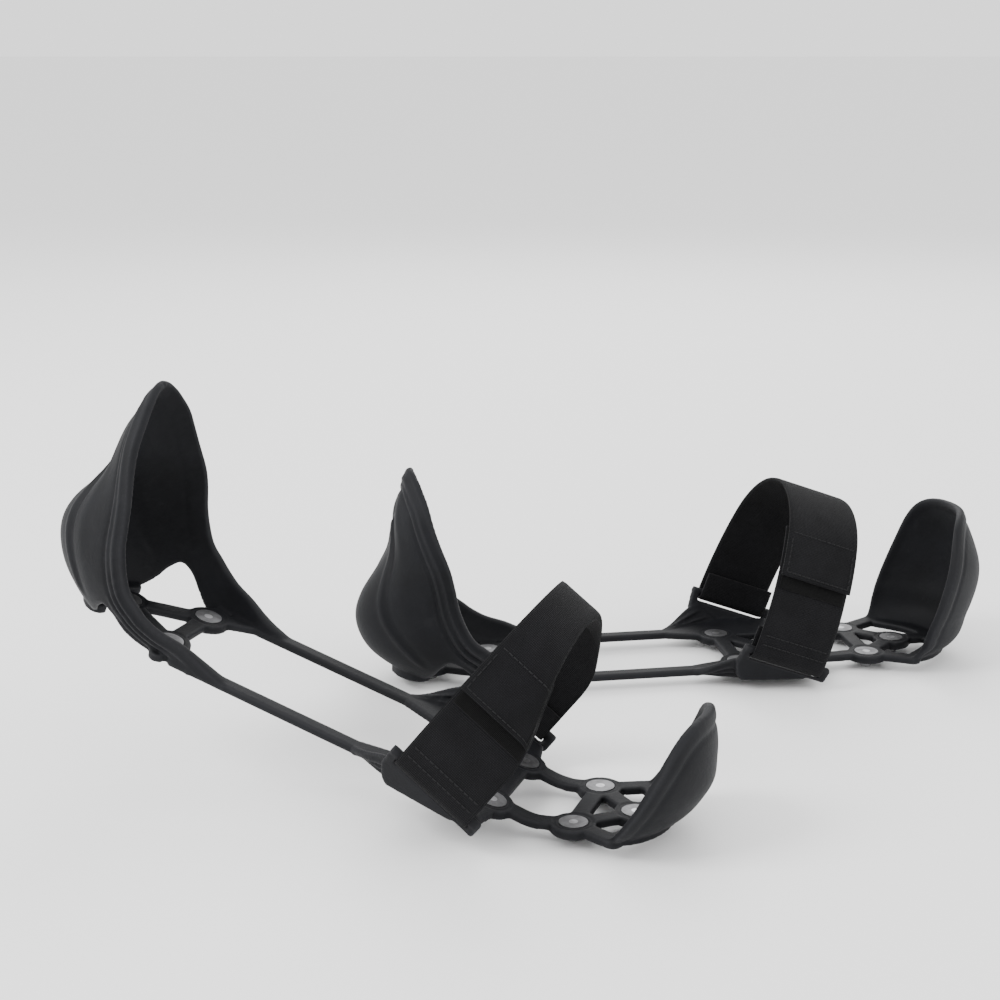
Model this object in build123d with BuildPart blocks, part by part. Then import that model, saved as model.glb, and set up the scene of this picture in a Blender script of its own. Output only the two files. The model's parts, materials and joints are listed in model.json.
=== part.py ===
"""A pair of strap-on shoe ice cleats, standing as they are worn: left one flat, right one pushing off.

Each cleat is made in its own frame: X forward from the back of the shoe's heel, Y to the wearer's left,
Z up from the tips of the studs. Millimetres throughout.
"""
from build123d import *
import os
from math import asin, atan2, cos, degrees, hypot, radians, sin

# Levels above the ground
BOSS_UNDER = 4.0
WEB_UNDER = 5.0
WEB_TOP = 8.5

# Studs
TIP_RADIUS = 1.1
TIP_LENGTH = 3.2
BODY_END = 0.9
BODY_ACROSS_FLATS = 8.0
BODY_NOSE_RADIUS = 3.0
SHANK_RADIUS = 1.9
WASHER_RADIUS = 6.0
WASHER_THICKNESS = 1.2
STUD_CLEARANCE = 0.05

# Web under the sole
BOSS_RADIUS = 9.5
LINK_WIDTH = 8.0
STRAND_WIDTH = 7.0
STRAND_Y = 28.5
STRAND_REAR = 68.0
STRAND_FRONT = 152.0
FLEX_X = 230.5
FLEX_GAP = 0.6
TOE_BOSSES = [(247, -19), (247, 19), (268, 0)]
BALL_BOSSES = [(178, -21), (178, 21), (212, -21), (212, 21)]
BALL_REST_X = 195.0
HEEL_BOSSES = [(22, 0), (54, -17), (54, 17)]

# Slings, and the flat rims of the webs that they stand on
RIM_WIDTH = 10.0
HEEL_WALL = 3.0
HEEL_CENTRE_X = 48.0
HEEL_BACK = -8.0
HEEL_BASE_HALF = 35.0
HEEL_RIM_END = 12.0
HEEL_GAP = 0.3
TOE_WALL = 4.0
TOE_CENTRE_X = 235.0
TOE_SETBACK = 9.0
TOE_BASE_HALF = 45.0
TOE_CORNER_X = 268.0

# Hook-and-loop strap, measured in its own plane, which leans forward over the instep
STRAP_WIDTH = 38.0
STRAP_THICKNESS = 1.6
STRAP_LEAN = 20.0
STRAP_FOOT_X = 195.5
STRAP_FOOT_Z = WEB_TOP + 12
STRAP_HALF = 51.7
CREST = 74.5
CROWN_RADIUS = 45.0
PATCH_THICKNESS = 0.8
PATCH_GAP = 0.3
PATCH_MARGIN = 1.5
OVERLAP_END = 36.0
HOOK_START = 29.5
SHORT_STRAP_TOP = 58.0
SPLIT_GAP = 0.4
BAR_RADIUS = 2.2
BAR_CLEARANCE = 0.1
BAR_RISE = -4.0
EAR_HALF = STRAP_WIDTH / 2 + 4.5
FOLD_BACK = 12.0

STACK = STRAP_THICKNESS + 2 * PATCH_THICKNESS + PATCH_GAP
BAR_Y = STRAP_HALF - STRAP_THICKNESS - BAR_CLEARANCE - BAR_RADIUS
LEAN = radians(STRAP_LEAN)
STRAP_PLANE = Plane(
    origin=(STRAP_FOOT_X, 0, STRAP_FOOT_Z), x_dir=(0, 1, 0), z_dir=(cos(LEAN), 0, -sin(LEAN))
)

# How each cleat is worn: where the flex line stands on the ground, its turn, how far the heel is up,
# and how high and how far forward the toe sling is pulled over the shoe
RIGHT = {
    "spot": (0.0, 0.0),
    "turn": -19.8,
    "flex": 18.3,
    "toe_reach": 301.5,
    "toe_height": 47.0,
    "toe_lean": 3.0,
    "toe_rim": [(273, 3), (288.5, 31), (294.5, 50)],
}
LEFT = {
    "spot": (149.8, 198.7),
    "turn": 9.5,
    "flex": 0.0,
    "toe_reach": 312.0,
    "toe_height": 70.0,
    "toe_lean": 12.0,
    "toe_rim": [(274, 5), (288, 46), (291, 73)],
}


def form(centre_x, sections, shrink=0.0, mode=Mode.ADD):
    """Body of the shoe's heel or toe: a loft through ellipses of (height, end x, half width)."""
    rings = []
    for height, end, half in sections:
        with BuildSketch(Plane((centre_x, 0, height))) as ring:
            Ellipse(abs(end - centre_x) - shrink, half - shrink)
        rings.append(ring.sketch)
    loft(rings, mode=mode)


def keep_side_profile(rim, closing):
    """Keep what lies inside a side view outline: a curved rim, closed by straight lines."""
    with BuildSketch(Plane.XZ) as side_view:
        with BuildLine():
            Spline(*rim)
            Polyline(rim[-1], *closing, rim[0])
        make_face()
    extrude(side_view.sketch, amount=80, both=True, mode=Mode.INTERSECT)


def make_toe_sling(worn):
    """Thick cup over the front of the toe, open at the back and standing on the toe web's rim."""
    reach, height, lean = worn["toe_reach"], worn["toe_height"], worn["toe_lean"]
    base = (WEB_TOP, reach - TOE_SETBACK, TOE_BASE_HALF)
    middle = [
        (WEB_TOP + 0.25 * height, reach - 2, 50),
        (WEB_TOP + 0.6 * height, reach, 50),
    ]
    rim = [(TOE_CORNER_X, WEB_TOP - 1)] + [(x, WEB_TOP + z) for x, z in worn["toe_rim"]]
    far_x, top = reach + 20, WEB_TOP + height + 10
    with BuildPart() as toe_sling:
        form(TOE_CENTRE_X, [base, *middle, (WEB_TOP + height, reach - lean, 46)])
        inner = [base, *middle, (WEB_TOP + height + 4, reach - lean - 2, 44)]
        form(TOE_CENTRE_X, inner, TOE_WALL, Mode.SUBTRACT)
        keep_side_profile(rim, [(rim[-1][0], top), (far_x, top), (far_x, WEB_TOP - 1)])
    return toe_sling


def make_heel_sling():
    """Tall flap behind the heel: it rises to a tip, and its rim runs down into a strand on each side."""
    outer = [
        (WEB_TOP + HEEL_GAP, HEEL_BACK, HEEL_BASE_HALF),
        (WEB_TOP + 20, -18.4, 38.3),
        (WEB_TOP + 38, -13.5, 38.3),
        (WEB_TOP + 58, 0.5, 38),
        (WEB_TOP + 82, 5.5, 33),
        (WEB_TOP + 107, 10, 21),
    ]
    rim = [(62, 6), (53, 11), (44, 17.6), (35, 27.6), (29.5, 48), (24, 68), (19, 87), (13, 107)]
    lower = [(-40, 112), (-40, -5), (9, -5), (9, 1), (20, 9), (25, 14), (29, 11), (38, 5), (48, 0), (62, 0)]
    with BuildPart() as heel_sling:
        form(HEEL_CENTRE_X, outer)
        form(HEEL_CENTRE_X, outer[:-1] + [(WEB_TOP + 110, 11, 20)], HEEL_WALL, Mode.SUBTRACT)
        keep_side_profile(
            [(x, WEB_TOP + z) for x, z in rim],
            [(13, WEB_TOP + 112)] + [(x, WEB_TOP + z) for x, z in lower],
        )
    return heel_sling


def link(start, end, width):
    """Round-ended rubber link of a web, from one point of the plan to another."""
    run, rise = end[0] - start[0], end[1] - start[1]
    with Locations(((start[0] + end[0]) / 2, (start[1] + end[1]) / 2)):
        SlotCenterToCenter(hypot(run, rise), width, rotation=degrees(atan2(rise, run)))


def web_rim(centre_x, length, half, end_x):
    """Flat crescent of a web under the edge of a sling, from the sling's end round to end_x."""
    side = 1 if length > 0 else -1
    with BuildSketch(Plane((centre_x, 0, WEB_UNDER))) as crescent:
        Ellipse(abs(length), half)
        Ellipse(abs(length) - RIM_WIDTH, half - RIM_WIDTH, mode=Mode.SUBTRACT)
        with Locations((end_x - centre_x, 0)):
            box_align = (Align.MIN if side > 0 else Align.MAX, Align.CENTER)
            Rectangle(2 * abs(length), 4 * half, align=box_align, mode=Mode.INTERSECT)
    extrude(crescent.sketch, amount=WEB_TOP - WEB_UNDER)


def web(bosses, links):
    """Flat net of links, with a thicker boss and a stepped hole for each stud."""
    with BuildSketch(Plane.XY.offset(WEB_UNDER)) as net:
        for start, end in links:
            link(start, end, LINK_WIDTH)
    extrude(net.sketch, amount=WEB_TOP - WEB_UNDER)
    with BuildSketch(Plane.XY.offset(BOSS_UNDER)) as discs:
        with Locations(*bosses):
            Circle(BOSS_RADIUS)
    extrude(discs.sketch, amount=WEB_TOP - BOSS_UNDER)


def stud_holes(bosses):
    """A hole for each stud's shank, with a recess for its backing washer."""
    with Locations(*[(x, y, WEB_TOP) for x, y in bosses]):
        CounterBoreHole(
            SHANK_RADIUS + STUD_CLEARANCE, WASHER_RADIUS + STUD_CLEARANCE, WASHER_THICKNESS, 2 * WEB_TOP
        )


def make_toe_web(worn):
    """Net between the flex line and the crescent under the toe sling."""
    low, high, nose = TOE_BOSSES
    length = worn["toe_reach"] - TOE_SETBACK - TOE_CENTRE_X
    links = [(low, high), (low, nose), (high, nose), (nose, (TOE_CENTRE_X + length - RIM_WIDTH / 2, 0))]
    for x, y in (low, high):
        side = 1 if y > 0 else -1
        links += [((FLEX_X - 6, y), (x, y)), ((x, y), (TOE_CORNER_X + 2, side * 30))]
    with BuildPart() as toe_web:
        web_rim(TOE_CENTRE_X, length, TOE_BASE_HALF, TOE_CORNER_X)
        web(TOE_BOSSES, links)
        split(bisect_by=Plane.YZ.offset(FLEX_X + FLEX_GAP / 2), keep=Keep.TOP)
        stud_holes(TOE_BOSSES)
    return toe_web


def ear(side):
    """Flap that rises beside the sole to a slanted bar, with the strap's slot under the bar."""
    with BuildSketch(STRAP_PLANE) as flap:
        with Locations((side * BAR_Y, BAR_RISE)):
            Circle(BAR_RADIUS)
        with Locations((side * (BAR_Y - 7), BAR_RISE - 20)):
            Circle(1.6)
        make_hull()
    extrude(flap.sketch, amount=EAR_HALF, both=True)
    slot_low = BAR_RISE - BAR_RADIUS - BAR_CLEARANCE - STRAP_THICKNESS - 0.6
    with BuildSketch(STRAP_PLANE) as slot:
        with Locations((side * BAR_Y, slot_low)):
            Rectangle(20, 20, align=(Align.CENTER, Align.MIN))
    extrude(slot.sketch, amount=STRAP_WIDTH / 2 + 0.7, both=True, mode=Mode.SUBTRACT)
    with BuildSketch(STRAP_PLANE) as bar:
        with Locations((side * BAR_Y, BAR_RISE)):
            Circle(BAR_RADIUS)
    extrude(bar.sketch, amount=EAR_HALF, both=True)


def lobe(side):
    """Part of the ball web that an ear rises from, cut back where the strap passes its slot."""
    corners = [(165, 21), (165, 41.5), (180, 43), (212.6, 43), (212.6, 47), (216, 47), (216, 21)]
    with BuildSketch(Plane.XY.offset(WEB_UNDER)) as outline:
        Polygon(*[(x, side * y) for x, y in corners], align=None)
    extrude(outline.sketch, amount=WEB_TOP - WEB_UNDER)


def make_ball_web():
    """Net under the ball of the foot, with an ear for the strap on each side."""
    rear_low, rear_high, front_low, front_high = BALL_BOSSES
    links = [(rear_low, rear_high), (front_low, front_high), (rear_low, front_low), (rear_high, front_high)]
    links += [(rear_low, front_high), (rear_high, front_low)]
    for (x, y), toe_y in ((front_low, TOE_BOSSES[0][1]), (front_high, TOE_BOSSES[1][1])):
        links += [((x, y), (FLEX_X + 6, toe_y))]
    for x, y in (rear_low, rear_high):
        side = 1 if y > 0 else -1
        links += [((x, y), (STRAND_FRONT + 4, side * STRAND_Y))]
    with BuildPart() as ball_web:
        for side in (-1, 1):
            ear(side)
        split(bisect_by=Plane.XY.offset(WEB_UNDER), keep=Keep.TOP)
        for side in (-1, 1):
            lobe(side)
        web(BALL_BOSSES, links)
        split(bisect_by=Plane.YZ.offset(FLEX_X - FLEX_GAP / 2), keep=Keep.BOTTOM)
        split(bisect_by=Plane.YZ.offset(STRAND_FRONT), keep=Keep.TOP)
        stud_holes(BALL_BOSSES)
    return ball_web


def make_arch_strands():
    """The two narrow bands that run under the edges of the arch, from the heel web to the ball web."""
    with BuildPart() as arch_strands:
        with BuildSketch(Plane.XY.offset(WEB_UNDER)):
            with Locations(*[((STRAND_REAR + STRAND_FRONT) / 2, side * STRAND_Y) for side in (-1, 1)]):
                Rectangle(STRAND_FRONT - STRAND_REAR, STRAND_WIDTH)
        extrude(amount=WEB_TOP - WEB_UNDER)
    return arch_strands


def make_heel_web():
    """Net under the heel, with a crescent under the sling's back and pads under its side strands."""
    back, low, high = HEEL_BOSSES
    links = [(back, low), (back, high), (low, high), (back, (0, 0))]
    for x, y in (low, high):
        side = 1 if y > 0 else -1
        links += [((x, y), (STRAND_REAR + 4, side * STRAND_Y)), ((x, y), (x - 3, side * 31))]
        links += [((x - 3, side * 31), (x + 5, side * 31))]
    with BuildPart() as heel_web:
        web_rim(HEEL_CENTRE_X, HEEL_BACK - HEEL_CENTRE_X, HEEL_BASE_HALF, HEEL_RIM_END)
        web(HEEL_BOSSES, links)
        split(bisect_by=Plane.YZ.offset(STRAND_REAR), keep=Keep.BOTTOM)
        stud_holes(HEEL_BOSSES)
    return heel_web


def make_studs(bosses):
    """Steel studs: a hexagonal body under the web, with a shank up through it."""
    with BuildPart() as studs:
        with BuildSketch(Plane.XY.offset(BODY_END)):
            with Locations(*bosses):
                RegularPolygon(BODY_ACROSS_FLATS / 2, 6, major_radius=False)
        extrude(amount=BOSS_UNDER - BODY_END)
        with BuildSketch(Plane.XY.offset(BODY_END)):
            with Locations(*bosses):
                Circle(BODY_NOSE_RADIUS)
        extrude(amount=BOSS_UNDER - BODY_END, taper=-25, mode=Mode.INTERSECT)
        with BuildSketch(Plane.XY.offset(BOSS_UNDER)):
            with Locations(*bosses):
                Circle(SHANK_RADIUS)
        extrude(amount=WEB_TOP - BOSS_UNDER)
        with BuildSketch(Plane.XY.offset(BODY_END)):
            with Locations(*bosses):
                Circle(TIP_RADIUS)
        extrude(amount=TIP_LENGTH - BODY_END, mode=Mode.SUBTRACT)
    return studs


def make_stud_tips(bosses):
    """Carbide pins pressed into the studs, with a blunt point."""
    with BuildPart() as stud_tips:
        with BuildSketch(Plane.XY):
            with Locations(*bosses):
                Circle(TIP_RADIUS)
        extrude(amount=TIP_LENGTH)
        chamfer(stud_tips.edges().group_by(Axis.Z)[0], 0.5)
    return stud_tips


def make_stud_washers(bosses):
    """Backing washers, set flush into the top of the web and riveted over by the shanks."""
    with BuildPart() as stud_washers:
        with BuildSketch(Plane.XY.offset(WEB_TOP - WASHER_THICKNESS)):
            with Locations(*bosses):
                Circle(WASHER_RADIUS)
                Circle(SHANK_RADIUS, mode=Mode.SUBTRACT)
        extrude(amount=WASHER_THICKNESS)
    return stud_washers


def side_arc(half):
    """Centre and radius of the arc that leaves a strap's bar upright and runs smoothly into the crown."""
    drop = CREST - CROWN_RADIUS - BAR_RISE
    radius = (half**2 + drop**2 - CROWN_RADIUS**2) / (2 * (half - CROWN_RADIUS))
    return (radius - half, BAR_RISE), radius, degrees(asin(drop / (radius - CROWN_RADIUS)))


def arch_area(inset, mode=Mode.ADD):
    """Area under the strap's arch, drawn in the strap's plane and set in from its outer face."""
    (outer_x, foot), outer_radius, outer_angle = side_arc(STRAP_HALF + STACK)
    (inner_x, foot), inner_radius, inner_angle = side_arc(STRAP_HALF)
    with BuildLine() as outline:
        outer = CenterArc((outer_x, foot), outer_radius - inset, 180, -outer_angle)
        crown_sweep = -(180 - outer_angle - inner_angle)
        CenterArc((0, CREST - CROWN_RADIUS), CROWN_RADIUS - inset, 180 - outer_angle, crown_sweep)
        inner = CenterArc((-inner_x, foot), inner_radius - inset, inner_angle, -inner_angle)
        Line(inner @ 1, outer @ 0)
    make_face(outline.edges(), mode=mode)


def strap_band(outer_inset, inner_inset, low, high, trim=0.0):
    """Band of the arch between two insets, kept between two corners of the strap's plane."""
    with BuildSketch(STRAP_PLANE) as band:
        arch_area(outer_inset)
        arch_area(inner_inset, Mode.SUBTRACT)
        with Locations(((low[0] + high[0]) / 2, (low[1] + high[1]) / 2)):
            Rectangle(high[0] - low[0], high[1] - low[1], mode=Mode.INTERSECT)
    extrude(band.sketch, amount=STRAP_WIDTH / 2 - trim, both=True)


def bar_loop(side):
    """Turn of the strap round its bar, with the end folded back up inside."""
    inside = BAR_RADIUS + BAR_CLEARANCE
    outside = inside + STRAP_THICKNESS
    with BuildSketch(STRAP_PLANE) as loop:
        with Locations((side * BAR_Y, BAR_RISE)):
            Circle(outside)
            Circle(inside, mode=Mode.SUBTRACT)
            Rectangle(3 * outside, 3 * outside, align=(Align.CENTER, Align.MIN), mode=Mode.SUBTRACT)
        with Locations((side * (BAR_Y - (inside + outside) / 2), BAR_RISE)):
            Rectangle(STRAP_THICKNESS, FOLD_BACK, align=(Align.CENTER, Align.MIN))
    extrude(loop.sketch, amount=STRAP_WIDTH / 2, both=True)


def make_short_strap():
    """Short end of the strap, up the outer side of the foot."""
    with BuildPart() as short_strap:
        strap_band(STACK, STACK + STRAP_THICKNESS, (-70, BAR_RISE), (0, SHORT_STRAP_TOP))
        bar_loop(-1)
    return short_strap


def make_hook_patch():
    """Hook tape sewn on the outside of the short strap."""
    with BuildPart() as hook_patch:
        strap_band(
            STACK - PATCH_THICKNESS, STACK, (-70, HOOK_START), (0, SHORT_STRAP_TOP - 2), PATCH_MARGIN
        )
    return hook_patch


def make_long_strap():
    """Long strap, from the bar on the inner side up to the crest of the foot."""
    with BuildPart() as long_strap:
        strap_band(0, STRAP_THICKNESS, (SPLIT_GAP / 2, BAR_RISE), (70, 90))
        bar_loop(1)
    return long_strap


def make_strap_flap():
    """Free end of the long strap, over the crest and down over the short strap."""
    with BuildPart() as strap_flap:
        strap_band(0, STRAP_THICKNESS, (-70, OVERLAP_END), (-SPLIT_GAP / 2, 90))
    return strap_flap


def make_loop_patch():
    """Loop tape sewn on the inside of the flap's end."""
    with BuildPart() as loop_patch:
        strap_band(
            STRAP_THICKNESS,
            STRAP_THICKNESS + PATCH_THICKNESS,
            (-70, OVERLAP_END + 1),
            (0, SHORT_STRAP_TOP),
            PATCH_MARGIN,
        )
    return loop_patch


def make_front(worn):
    """The pieces in front of the flex line, by name."""
    return {
        "toe_sling": make_toe_sling(worn),
        "toe_web": make_toe_web(worn),
        "toe_studs": make_studs(TOE_BOSSES),
        "toe_stud_tips": make_stud_tips(TOE_BOSSES),
        "toe_stud_washers": make_stud_washers(TOE_BOSSES),
    }


def make_rear():
    """The pieces behind the flex line, by name."""
    return {
        "ball_web": make_ball_web(),
        "ball_studs": make_studs(BALL_BOSSES),
        "ball_stud_tips": make_stud_tips(BALL_BOSSES),
        "ball_stud_washers": make_stud_washers(BALL_BOSSES),
        "arch_strands": make_arch_strands(),
        "heel_web": make_heel_web(),
        "heel_studs": make_studs(HEEL_BOSSES),
        "heel_stud_tips": make_stud_tips(HEEL_BOSSES),
        "heel_stud_washers": make_stud_washers(HEEL_BOSSES),
        "heel_sling": make_heel_sling(),
        "short_strap": make_short_strap(),
        "hook_patch": make_hook_patch(),
        "long_strap": make_long_strap(),
        "strap_flap": make_strap_flap(),
        "loop_patch": make_loop_patch(),
    }


def places(worn, shift):
    """Where the front and the rear of a cleat stand in the pair's frame."""
    spot = Vector(*worn["spot"]) + shift
    front = Location(spot, (0, 0, worn["turn"])) * Location((-FLEX_X, 0, 0))
    hinge = Location((FLEX_X, 0, WEB_TOP))
    rear = front * hinge * Location((0, 0, 0), (0, worn["flex"], 0)) * hinge.inverse()
    return front, rear


def pair_box(pair, shift):
    """Box round the whole pair."""
    placed = []
    for worn, front_pieces, rear_pieces in pair.values():
        front, rear = places(worn, shift)
        placed += [piece.part.moved(front) for piece in front_pieces.values()]
        placed += [piece.part.moved(rear) for piece in rear_pieces.values()]
    return Compound(placed).bounding_box()


def joint_lines(worn, shift):
    """A point and an axis for each joint and for the shoe's rest, in the pair's frame, by name."""
    front, rear = places(worn, shift)
    across = STRAP_PLANE.z_dir * -1
    lines = {
        "flex": (front, Vector(FLEX_X, 0, WEB_TOP), Vector(0, 1, 0)),
        "heel_pull": (rear, Vector(HEEL_BACK, 0, WEB_TOP), Vector(0, -1, 0)),
        "strap_swing": (rear, STRAP_PLANE.from_local_coords(Vector(BAR_Y, BAR_RISE, 0)), across),
        "flap_open": (rear, STRAP_PLANE.from_local_coords(Vector(0, CREST, 0)), across),
        "sole_rest": (rear, Vector(BALL_REST_X, 0, WEB_TOP), Vector(0, 0, 1)),
    }
    placed = {}
    for name, (place, point, axis) in lines.items():
        foot = (place * Pos(point)).position
        placed[name] = (foot, (place * Pos(point + axis)).position - foot)
    return placed


def main():
    os.makedirs("parts", exist_ok=True)
    rear_pieces = make_rear()
    pair = {
        "right": (RIGHT, make_front(RIGHT), rear_pieces),
        "left": (LEFT, make_front(LEFT), rear_pieces),
    }
    box = pair_box(pair, Vector(0, 0, 0))
    shift = Vector(-box.center().X, -box.center().Y, -box.min.Z)
    for side, (worn, front_pieces, rear_pieces) in pair.items():
        front, rear = places(worn, shift)
        for pieces, place in ((front_pieces, front), (rear_pieces, rear)):
            for name, piece in pieces.items():
                piece.part.location = place
                piece.part.label = f"{side}_{name}"
                export_step(piece.part, f"parts/{piece.part.label}.step")
        for name, (point, axis) in joint_lines(worn, shift).items():
            print("line", side, name, *point, *axis)
    print("size", *box.size)


main()
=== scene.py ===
"""Looks of a pair of strap-on shoe ice cleats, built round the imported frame."""
import json
import math

import bpy
import numpy as np
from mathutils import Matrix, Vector


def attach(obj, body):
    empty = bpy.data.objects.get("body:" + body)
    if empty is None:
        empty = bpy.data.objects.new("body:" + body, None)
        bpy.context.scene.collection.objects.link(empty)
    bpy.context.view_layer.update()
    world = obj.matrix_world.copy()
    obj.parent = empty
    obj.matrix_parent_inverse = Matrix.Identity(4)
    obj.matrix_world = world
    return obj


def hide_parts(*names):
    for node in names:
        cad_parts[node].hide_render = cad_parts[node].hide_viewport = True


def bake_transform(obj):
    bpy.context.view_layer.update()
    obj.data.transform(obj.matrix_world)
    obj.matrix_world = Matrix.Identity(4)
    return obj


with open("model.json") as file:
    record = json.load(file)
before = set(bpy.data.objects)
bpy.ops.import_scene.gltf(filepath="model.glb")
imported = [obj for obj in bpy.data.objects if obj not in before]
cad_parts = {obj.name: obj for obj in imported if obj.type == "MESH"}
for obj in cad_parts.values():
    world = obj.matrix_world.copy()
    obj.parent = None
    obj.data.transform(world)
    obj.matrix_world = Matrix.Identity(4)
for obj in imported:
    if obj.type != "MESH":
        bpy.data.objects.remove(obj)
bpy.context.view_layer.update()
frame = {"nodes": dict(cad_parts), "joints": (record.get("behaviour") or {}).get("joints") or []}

# ---- a cleat's own measures, in mm, in its own frame: X forward, Y to the left, Z up from the ground
MM = 0.001
FLEX_X = 230.5
BEND_REACH = 11.0

WEB_TOP = 8.5
WEB_UNDER = 5.0
BOSS_UNDER = 4.0
BOSS_RADIUS = 9.5
LINK_WIDTH = 8.0
STRAND_WIDTH = 7.0
STRAND_Y = 28.5
STRAND_START = 64.0
STRAND_END = 155.0
TOE_BOSSES = [(247, -19), (247, 19), (268, 0)]
BALL_BOSSES = [(178, -21), (178, 21), (212, -21), (212, 21)]
HEEL_BOSSES = [(22, 0), (54, -17), (54, 17)]
# the dip under a stud's washer, and the groove round it
SEAT_RADIUS = 6.3
SEAT_DEPTH = 0.7
SEAT_RING_RADIUS = 7.8
SEAT_RING_DEPTH = 0.45

STRAP_WIDTH = 38.0
STRAP_THICKNESS = 1.6
LEAN = math.radians(20.0)
STRAP_FOOT = np.array([195.5, 0.0, 20.5])
STRAP_HALF = 51.7
CREST = 74.5
CREST_BEND = 17.0
CROWN_RADIUS = 45.0
BAR_RISE = -4.0
BAR_RADIUS = 2.2
TAIL = 12.0
PATCH_THICKNESS = 0.8
PATCH_GAP = 0.3
STACK = STRAP_THICKNESS + 2 * PATCH_THICKNESS + PATCH_GAP
BAR_Y = STRAP_HALF - STRAP_THICKNESS - 0.1 - BAR_RADIUS
OVERLAP_END = 36.0
HOOK_START = 29.5
SHORT_STRAP_TOP = 58.0

JOINTS = {joint["name"]: joint for joint in frame["joints"]}


# ---- curves
def ease(share):
    """Smooth step from 0 to 1 as a share goes from 0 to 1."""
    return share * share * (3 - 2 * share)


def bump(distance, centre, width):
    """Smooth hump of height 1 round a distance."""
    return np.exp(-(((distance - centre) / width) ** 2))


def fade_out(distance, edge, steepness):
    """Smooth step from 1 within an edge to 0 beyond it."""
    return 1 / (1 + np.exp(np.clip((distance - edge) * steepness, -50, 50)))


def waviness(points, scale, seed):
    """Gentle seeded unevenness: a sum of sines over the points, between about -1 and 1."""
    rng = np.random.default_rng(seed)
    total = np.zeros(points.shape[:-1])
    for _ in range(5):
        direction = rng.normal(size=3)
        direction = direction / np.linalg.norm(direction)
        turns = points @ direction * 2 * math.pi / scale
        total += np.sin(turns * rng.uniform(0.7, 1.5) + rng.uniform(0, 6.28))
    return total / 3.5


def smooth_curve(xs, ys, x):
    """Value at x of a smooth curve through points: cubic Hermite with averaged slopes."""
    xs, ys, x = np.asarray(xs, float), np.asarray(ys, float), np.asarray(x, float)
    slopes = np.gradient(ys, xs)
    i = np.clip(np.searchsorted(xs, x) - 1, 0, len(xs) - 2)
    h = xs[i + 1] - xs[i]
    t = np.clip((x - xs[i]) / h, 0, 1)
    return (
        ys[i] * (1 + 2 * t) * (1 - t) ** 2
        + slopes[i] * h * t * (1 - t) ** 2
        + ys[i + 1] * ease(t)
        + slopes[i + 1] * h * t * t * (t - 1)
    )


def form_at(sections, height):
    """End reach and half width of a form at a height, smoothly between its sections."""
    levels, reaches, halves = zip(*sections)
    return smooth_curve(levels, reaches, height), smooth_curve(levels, halves, height)


def distance_to(points, line):
    """Distance of each point to the nearest point of a finely divided line."""
    flat = points.reshape(-1, 3)
    best = np.full(len(flat), 1e9)
    for spot in line:
        best = np.minimum(best, np.linalg.norm(flat - spot, axis=1))
    return best.reshape(points.shape[:-1])


# ---- placing
class Cleat:
    """One cleat of the pair, and how its own frame stands in the pair's."""

    def __init__(self, side):
        self.side = side
        flex = JOINTS[side + "_flex"]
        self.hinge = np.array(flex["pos_m"])
        self.left = np.array(flex["axis"])
        self.up = np.array([0.0, 0.0, 1.0])
        self.forward = np.cross(self.left, self.up)
        self.rest_flex = math.radians(-flex["range_deg"][0])

    def place(self, points):
        """Points of the cleat's own frame, bent at the flex line as worn, in metres in the pair's frame."""
        points = np.asarray(points, float)
        x = points[..., 0] - FLEX_X
        z = points[..., 2] - WEB_TOP
        angle = self.rest_flex * ease(np.clip((BEND_REACH - x) / (2 * BEND_REACH), 0, 1))
        turned_x = x * np.cos(angle) + z * np.sin(angle)
        turned_z = -x * np.sin(angle) + z * np.cos(angle)
        steps = (
            turned_x[..., None] * self.forward
            + points[..., 1, None] * self.left
            + turned_z[..., None] * self.up
        )
        return self.hinge + steps * MM

    def spot(self, x, y, z):
        """One placed point."""
        return tuple(self.place([x, y, z]))


def strap_point(y, w, s):
    """A point in the cleat's frame from the strap's plane: y across the foot, w up, s along the width."""
    y, w, s = np.broadcast_arrays(np.asarray(y, float), w, s)
    x = STRAP_FOOT[0] + w * math.sin(LEAN) + s * math.cos(LEAN)
    z = STRAP_FOOT[2] + w * math.cos(LEAN) - s * math.sin(LEAN)
    return np.stack([x, y, z], axis=-1)


# ---- meshes: a solid is its points and its faces
def new_object(name, points, faces, material=None, uvs=None):
    """Smooth-shaded mesh object from points in metres, with a UV for each point if they are given."""
    mesh = bpy.data.meshes.new(name)
    mesh.from_pydata([tuple(p) for p in points], [], faces)
    mesh.validate()
    mesh.shade_smooth()
    if uvs is not None:
        layer = mesh.uv_layers.new(name="UVMap")
        for loop in mesh.loops:
            layer.data[loop.index].uv = uvs[loop.vertex_index]
    obj = bpy.data.objects.new(name, mesh)
    bpy.context.scene.collection.objects.link(obj)
    if material:
        mesh.materials.append(material)
    return obj


def join_solids(solids):
    """Points and faces of several solids as one list of each."""
    points, faces = [], []
    for solid_points, solid_faces in solids:
        start = len(points)
        points += [tuple(p) for p in solid_points]
        faces += [tuple(start + i for i in face) for face in solid_faces]
    return np.array(points), faces


def sweep(rings):
    """Closed skin through equal rings, whose two halves mirror each other at the ends."""
    count, size = rings.shape[0], rings.shape[1]
    faces = []
    for i in range(count - 1):
        for j in range(size):
            k = (j + 1) % size
            faces.append((i * size + j, i * size + k, (i + 1) * size + k, (i + 1) * size + j))
    for start, flip in ((0, True), ((count - 1) * size, False)):
        for j in range(size // 2 - 1):
            quad = (start + j, start + j + 1, start + size - 2 - j, start + size - 1 - j)
            faces.append(quad[::-1] if flip else quad)
    return rings.reshape(-1, 3), faces


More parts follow.
